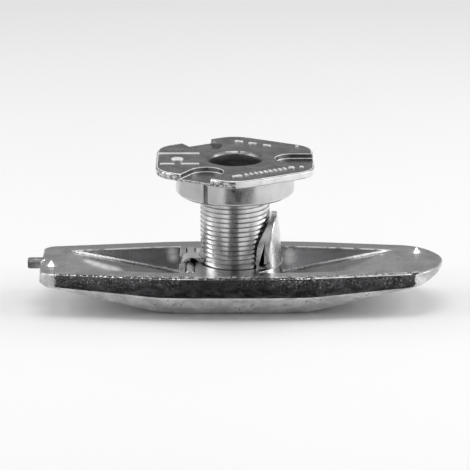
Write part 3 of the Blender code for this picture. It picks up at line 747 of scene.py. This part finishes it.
class ANCHOR_OT_threaded_barrel(bpy.types.Operator):
    """Build the barrel with its fine outer thread, its ear and the screw's thread in its bore"""

    bl_idname = "anchor.threaded_barrel"
    bl_label = "Threaded barrel"

    TURNED, SCREW_THREAD, EAR = range(3)

    def execute(self, context):
        settings = context.scene.anchor_barrel
        piece = self.tube()
        self.add_ear(piece)
        combine(piece, self.inner_ridge(settings.screw_pitch, settings.screw_depth), "UNION")
        combine(piece, self.outer_groove(settings.pitch, settings.depth, settings.start),
                "DIFFERENCE")
        drop_slivers(piece)
        for material in (
            bright_metal("Turned zinc", settings.colour, 0.19, grain=0.001, wave=0.004,
                         streak=(1.0, 1.0, 3.0), speckle=0.15),
            # The bore's thread is painted near-black: painted shade inside the bore.
            cast_metal("Screw thread, painted shade", toned(settings.colour, 0.25), roughness=0.45,
                       mottle=0.3, pits=0.2, grain=0.008),
            bright_metal("Rubbed ear", toned(settings.colour, 1.25), 0.36, grain=0.006),
        ):
            piece.data.materials.append(material)
        for face in piece.data.polygons:
            face.material_index = self.surface(face.center)
        smooth(piece, 28.0)
        settle(piece, "barrel", "barrel_thread", "threaded_barrel")
        return {"FINISHED"}

    def surface(self, centre):
        """The kind of surface that a face belongs to, by its place."""
        if math.hypot(centre.x, centre.y) < SCREW_BORE_RADIUS + 0.15 * MM:
            return self.SCREW_THREAD
        return self.EAR if centre.x < -BARREL_RADIUS - 0.02 * MM else self.TURNED

    def tube(self):
        """A bored cylinder with chamfered ends."""
        foot, top, edge = BARREL_LOW.z, BARREL_HIGH.z, END_CHAMFER
        return turned("threaded_barrel_turned", (
            (SCREW_BORE_RADIUS + edge, foot), (BARREL_RADIUS - edge, foot),
            (BARREL_RADIUS, foot + edge), (BARREL_RADIUS, top - edge),
            (BARREL_RADIUS - edge, top), (SCREW_BORE_RADIUS + edge, top),
            (SCREW_BORE_RADIUS, top - edge), (SCREW_BORE_RADIUS, foot + edge)), 128)

    def add_ear(self, piece):
        """Join to the barrel the ear that takes the hinge pin, with its cross hole."""
        root = -0.5 * (BARREL_RADIUS + SCREW_BORE_RADIUS)
        ear = rod("ear", EAR_RADIUS, EAR_WIDTH, HINGE, (math.pi / 2, 0.0, 0.0))
        web = block("ear_web", (root - HINGE.x, EAR_WIDTH, 2 * EAR_RADIUS),
                    Vector(((root + HINGE.x) / 2, 0.0, HINGE.z)))
        combine(ear, web, "UNION")
        hole = rod("ear_hole", EAR_HOLE_RADIUS, 2 * EAR_WIDTH, HINGE, (math.pi / 2, 0.0, 0.0))
        combine(ear, hole, "DIFFERENCE")
        round_edges(ear, EAR_ROUND)
        combine(piece, ear, "UNION")

    def inner_ridge(self, pitch, depth):
        """The screw's thread in the bore, which runs out before both ends."""
        return helix("inner_ridge", SCREW_BORE_RADIUS, pitch, BARREL_LOW.z + 0.75 * pitch,
                     BARREL_HIGH.z - 0.75 * pitch, vee(pitch, 0.08 * MM, 0.42, -depth, 0.07),
                     depth, True)

    def outer_groove(self, pitch, depth, start):
        """The cutter of the outer thread, which leaves the barrel at its top."""
        return helix("outer_groove", BARREL_RADIUS, pitch, start, BARREL_HIGH.z + pitch,
                     vee(pitch, 0.06 * MM, 0.27, -depth, 0.05), 1.2 * depth, False)


class ANCHOR_OT_flange_nut(bpy.types.Operator):
    """Build the flange nut with rounded edges and plain raised marks on its face"""

    bl_idname = "anchor.flange_nut"
    bl_label = "Flange nut"

    COLLAR, FACE, RAISED, BEADED, BORE = range(5)

    # Where the kinds of surface begin or end: from the nut's axis, upwards and along Y
    BORE_REACH = BARREL_RADIUS + 0.5 * MM
    HOLE_REACH = 4.8 * MM
    PLATE_REACH = COLLAR_RADIUS + 0.4 * MM
    COLLAR_TOP = FACE_Z - 2.0 * MM
    PLATE_FOOT = FACE_Z - 0.8 * MM
    BACK_RECESS = 6.0 * MM
    # The plate's edge is beaded where it faces left and front, and has a painted highlight at its
    # right, in degrees from +X
    BEADED_LOW, BEADED_HIGH, BRIGHT_HIGH = 150.0, -95.0, 10.0

    # The fine upright groove in the collar: degrees from +X, then its cutter's sizes inwards,
    # across and upwards, and how far that lies below the nut's middle
    PARTING = -118.5
    GROOVE = (0.30 * MM, 0.28 * MM, 4.2 * MM)
    GROOVE_DROP = 1.7 * MM

    # Near-black matte patches on the collar's front, a painted dark reflection: x, y, z and
    # radius in millimetres, then a grey level
    COLLAR_PAINTED_DARK_REFLECTION = ((-0.2, -7.85, 17.7, 1.1, 0.05), (0.2, -7.85, 16.9, 0.9, 0.07),
                    (0.7, -7.82, 17.4, 0.9, 0.09), (0.5, -7.83, 16.4, 0.8, 0.09))

    # Raised marks: direction in degrees, place out along it and across it in millimetres, then
    # the length and width of a bar or the radius of a pip
    MARKS = (*((-60, 7.9, -2.9 + 0.72 * step, 0.75, 0.30) for step in range(9)),
             (-60, 7.9, -4.3, 0.55, 1.30), (-60, 7.9, 3.9, 0.42), (-60, 8.3, 5.2, 0.28),
             (60, 7.6, 3.7, 0.45, 1.1), (60, 7.6, 1.6, 0.45, 1.1), (60, 7.6, -0.6, 0.45, 1.1),
             (30, 10.1, 0.8, 0.22), (180, 7.4, -2.1, 5.4, 0.55), (180, 8.9, 3.1, 1.9, 0.60),
             (180, 5.9, 3.1, 2.4, 0.60), (180, 7.6, 0.6, 0.80))

    def execute(self, context):
        settings = context.scene.anchor_nut
        piece = copy_of_node("flange_nut", "flange_nut_casting")
        materials = self.finishes(settings, tuple(settings.colour))
        marks = self.raised_marks(settings.relief)
        for thing, slot in ((piece, self.COLLAR), (marks, self.RAISED)):
            for material in materials:
                thing.data.materials.append(material)
            for face in thing.data.polygons:
                face.material_index = slot
        combine(piece, self.parting_line(), "DIFFERENCE")
        round_edges(piece, settings.edge, self.RAISED)
        for face in piece.data.polygons:
            face.material_index = self.surface(face)
        combine(piece, marks, "UNION")
        smooth(piece)
        settle(piece, "nut", "nut_casting", "flange_nut")
        return {"FINISHED"}

    def finishes(self, settings, colour):
        """The materials of the kinds of surface, in their order."""
        return (
            bright_metal("Zinc collar", colour, 0.18, grain=0.003, wave=0.008,
                         streak=(1.0, 1.0, 2.5), spots=self.COLLAR_PAINTED_DARK_REFLECTION),
            # The plate face's dark grey is a painted dark reflection.
            cast_metal("Zinc plate face", settings.face, roughness=0.30, mottle=0.34, pits=0.35,
                       grain=0.010),
            # Near-white matte marks and rounded edges: painted highlight.
            bright_metal("Zinc raised marks and edges, painted highlight", toned(colour, 1.45), 0.46, grain=0.008, matte=0.55),
            edge_nicks_and_painted_glints("Zinc beaded edge", toned(colour, 1.1), toned(colour, 0.30), scale=2.6,
                        share_dark=0.47),
            # The nut's bore and the collar's groove are painted dark: painted shade.
            cast_metal("Nut thread and groove, painted shade", toned(colour, 0.42), roughness=0.42, mottle=0.3,
                       pits=0.2, grain=0.008),
        )

    def surface(self, face):
        """The kind of surface that a face belongs to, by its place and direction."""
        centre, normal = face.center, face.normal
        reach = math.hypot(centre.x, centre.y)
        if reach < self.BORE_REACH and abs(normal.z) < 0.5:
            return self.BORE
        # The collar's fine groove takes the bore's dark finish: painted shade in the crease.
        if self.in_groove(centre, normal):
            return self.BORE
        outward = centre.x * normal.x + centre.y * normal.y
        if outward > self.PLATE_REACH and abs(normal.z) < 0.75:
            facing = math.degrees(math.atan2(normal.y, normal.x))
            if facing < self.BEADED_HIGH or facing > self.BEADED_LOW:
                return self.BEADED
            return self.RAISED if facing < self.BRIGHT_HIGH else face.material_index
        # Rounded edges round the hole and at the back take the dark face finish: painted shade.
        if normal.z > 0.3 and (reach < self.HOLE_REACH or centre.y > self.BACK_RECESS):
            return self.FACE
        # Above the plate's foot the faces, recesses' walls and floors included, take the dark
        # face finish: painted dark reflection and painted shade.
        if (face.material_index == self.COLLAR and centre.z > self.PLATE_FOOT
                and normal.z > -0.5):
            return self.FACE
        return face.material_index

    def in_groove(self, centre, normal):
        """Whether a face lies in the collar's fine upright groove."""
        reach = math.hypot(centre.x, centre.y)
        away = abs(math.degrees(math.atan2(centre.y, centre.x)) - self.PARTING)
        return (away < 3.5 and centre.z < self.COLLAR_TOP and abs(normal.z) < 0.9
                and COLLAR_RADIUS - 0.5 * MM < reach < COLLAR_RADIUS - 0.05 * MM)

    def parting_line(self):
        """The cutter of the fine upright groove in the collar."""
        turn = math.radians(self.PARTING)
        middle = Vector((COLLAR_RADIUS * math.cos(turn), COLLAR_RADIUS * math.sin(turn),
                         (NUT_LOW.z + NUT_HIGH.z) / 2 - self.GROOVE_DROP))
        return block("parting_line", self.GROOVE, middle, turn)

    def raised_marks(self, relief):
        """Short bars and pips on the face's plain sectors, joined into one piece."""
        marks = []
        for direction, out, across, *sizes in self.MARKS:
            turn = math.radians(direction)
            place = Vector((out * math.cos(turn) - across * math.sin(turn),
                            out * math.sin(turn) + across * math.cos(turn), 0.0)) * MM
            place.z = FACE_Z
            if len(sizes) == 2:
                marks.append(self.bar(place, turn, relief, *sizes))
            else:
                marks.append(self.pip(place, relief, *sizes))
        activate(marks[0])
        for mark in marks[1:]:
            mark.select_set(True)
        bpy.ops.object.join()
        return marks[0]

    def bar(self, place, turn, relief, long, wide):
        """A raised bar, long in the direction out from the middle, wide across it."""
        mark = block("raised_bar", (long * MM, wide * MM, 2 * relief), place, turn)
        round_edges(mark, 0.4 * relief)
        return mark

    def pip(self, place, relief, radius):
        """A raised round pip."""
        mark = rod("raised_pip", radius * MM, 2 * relief, place, vertices=20)
        round_edges(mark, 0.5 * relief)
        return mark


class ANCHOR_OT_studio(bpy.types.Operator):
    """Build the pale floor, the soft lamps, the world and the camera"""

    bl_idname = "anchor.studio"
    bl_label = "Studio"

    FLOOR_DROP = 0.02 * MM            # the floor lies this far below the anchor
    AIM_HEIGHT = 9.4 * MM             # the camera looks at this height
    LAMP_AIM_HEIGHT = 10.0 * MM

    # Cards: name, finish, then left, right, front and back edges in millimetres
    CARDS = (("near_card", "black", -34.5, 34.5, -27.0, -15.0),
             ("middle_card", "black", -13.0, 7.0, -48.0, -27.0),
             ("far_card", "black", -21.0, 42.0, -85.0, -48.0),
             ("left_card", "grey", -85.0, -29.0, -75.0, 40.0))
    # Softboxes: name, place, width and height in metres, then power in watts
    SOFTBOXES = (("left_softbox", (-0.30, 0.0, 0.20), 0.20, 0.26, 0.50),
                 ("right_softbox", (0.30, 0.0, 0.20), 0.20, 0.26, 0.60),
                 ("top_softbox", (0.0, -0.01, 0.42), 0.30, 0.26, 0.58))
    # The world's dark gap ends between these, sideways as a share of ahead
    GAP_EDGE, GAP_END = 0.20, 0.34

    def execute(self, context):
        settings = context.scene.anchor_studio
        scene = context.scene
        self.floor(settings.floor_colour)
        finishes = {"black": self.card_finish("Black card", 0.10),
                    "grey": self.card_finish("Grey card", 0.60)}
        for name, finish, *edges in self.CARDS:
            self.card(name, finishes[finish], *edges)
        scene.world = self.surround(settings.world_level, settings.gap_level)
        for lamp in self.SOFTBOXES:
            self.softbox(*lamp)
        scene.camera = self.camera(settings)
        scene.view_settings.view_transform = "Standard"
        return {"FINISHED"}

    def floor(self, colour):
        """A wide pale floor, faintly clouded."""
        deselect_all()
        bpy.ops.mesh.primitive_plane_add(size=4.0, location=(0.0, 0.0, -self.FLOOR_DROP))
        floor = bpy.context.object
        floor.name = "floor"
        wiring = Nodes(bpy.data.materials.new("Pale floor"))
        clouds = wiring.noise(0.01, detail=2.0)
        tint = wiring.blend(wiring.ramp(clouds, 0.3, 0.7), toned(colour, 0.985), tuple(colour))
        shader = wiring.tree.nodes["Principled BSDF"]
        wiring.join(tint, shader.inputs["Base Color"])
        shader.inputs["Roughness"].default_value = 0.8
        shader.inputs["Specular IOR Level"].default_value = 0.0
        floor.data.materials.append(wiring.owner)

    def card_finish(self, name, level):
        """Matt card of a grey level."""
        material = bpy.data.materials.new(name)
        material.use_nodes = True
        shader = material.node_tree.nodes["Principled BSDF"]
        shader.inputs["Base Color"].default_value = (level, level, level, 1.0)
        shader.inputs["Roughness"].default_value = 1.0
        shader.inputs["Specular IOR Level"].default_value = 0.0
        return material

    def card(self, name, finish, left, right, front, back):
        """A card just above the floor that shows only in the metal's reflections."""
        card = block(name, ((right - left) * MM, (back - front) * MM, 0.02 * MM),
                     Vector((left + right, front + back, 0.1)) / 2 * MM)
        card.data.materials.append(finish)
        card.visible_camera = False
        card.visible_diffuse = False
        card.visible_shadow = False
        card.visible_transmission = False

    def surround(self, level, gap_level):
        """Soft light from all round, with a dark gap in front that narrows to the zenith."""
        world = bpy.data.worlds.new("Soft surround")
        wiring = Nodes(world)
        wiring.place = wiring.coordinates["Generated"]
        ahead = wiring.maths("MAXIMUM", wiring.maths("MULTIPLY", wiring.axis("Y"), -1.0), 0.001)
        aside = wiring.maths("ABSOLUTE", wiring.axis("X"))
        opening = wiring.ramp(wiring.maths("DIVIDE", aside, ahead), self.GAP_EDGE, self.GAP_END,
                              level * gap_level, level)
        background = wiring.tree.nodes["Background"]
        background.inputs["Color"].default_value = (1.0, 1.0, 1.0, 1.0)
        wiring.join(opening, background.inputs["Strength"])
        return world

    def softbox(self, name, place, wide, tall, power):
        """A soft lamp aimed at the anchor."""
        data = bpy.data.lights.new(name, "AREA")
        data.shape = "RECTANGLE"
        data.size = wide
        data.size_y = tall
        data.energy = power
        lamp = bpy.data.objects.new(name, data)
        lamp.location = place
        aim = Vector((0.0, 0.0, self.LAMP_AIM_HEIGHT)) - Vector(place)
        lamp.rotation_euler = aim.to_track_quat("-Z", "Y").to_euler()
        bpy.context.scene.collection.objects.link(lamp)

    def camera(self, settings):
        """The camera at the photograph's viewing angle."""
        back = Vector((-math.sin(settings.azimuth) * math.cos(settings.elevation),
                       -math.cos(settings.azimuth) * math.cos(settings.elevation),
                       math.sin(settings.elevation)))
        data = bpy.data.cameras.new("Camera")
        data.lens = settings.lens
        data.clip_start = 0.01
        data.clip_end = 20.0
        camera = bpy.data.objects.new("Camera", data)
        camera.location = Vector((0.0, 0.0, self.AIM_HEIGHT)) + back * settings.distance
        camera.rotation_euler = (-back).to_track_quat("-Z", "Y").to_euler()
        bpy.context.scene.collection.objects.link(camera)
        return camera


class ANCHOR_PT_panel(bpy.types.Panel):
    """Lists the anchor's pieces in the 3D view's sidebar"""

    bl_idname = "ANCHOR_PT_panel"
    bl_label = "Toggle Anchor"
    bl_space_type = "VIEW_3D"
    bl_region_type = "UI"
    bl_category = "Toggle Anchor"

    def draw(self, context):
        layout = self.layout
        for operator in OPERATORS:
            layout.operator(operator.bl_idname)
        for name in GROUPS:
            box = layout.box()
            group = getattr(context.scene, name)
            for key in group.bl_rna.properties.keys():
                if key not in ("rna_type", "name"):
                    box.prop(group, key)


GROUPS = {
    "anchor_casting": CastingSettings,
    "anchor_barrel": BarrelSettings,
    "anchor_nut": NutSettings,
    "anchor_pin": PinSettings,
    "anchor_studio": StudioSettings,
}
OPERATORS = (
    ANCHOR_OT_toggle_bar,
    ANCHOR_OT_hinge_pin,
    ANCHOR_OT_threaded_barrel,
    ANCHOR_OT_flange_nut,
    ANCHOR_OT_studio,
)
CLASSES = (*GROUPS.values(), *OPERATORS, ANCHOR_PT_panel)


def register():
    """Register the classes, and hang the settings on the scene."""
    for known in CLASSES:
        bpy.utils.register_class(known)
    for name, group in GROUPS.items():
        setattr(bpy.types.Scene, name, bpy.props.PointerProperty(type=group))


def unregister():
    """Undo what register does."""
    for name in GROUPS:
        delattr(bpy.types.Scene, name)
    for known in reversed(CLASSES):
        bpy.utils.unregister_class(known)


def main():
    register()
    bpy.ops.anchor.toggle_bar()
    bpy.ops.anchor.hinge_pin()
    bpy.ops.anchor.threaded_barrel()
    bpy.ops.anchor.flange_nut()
    bpy.ops.anchor.studio()
    bpy.context.view_layer.update()


if __name__ == "__main__":
    main()
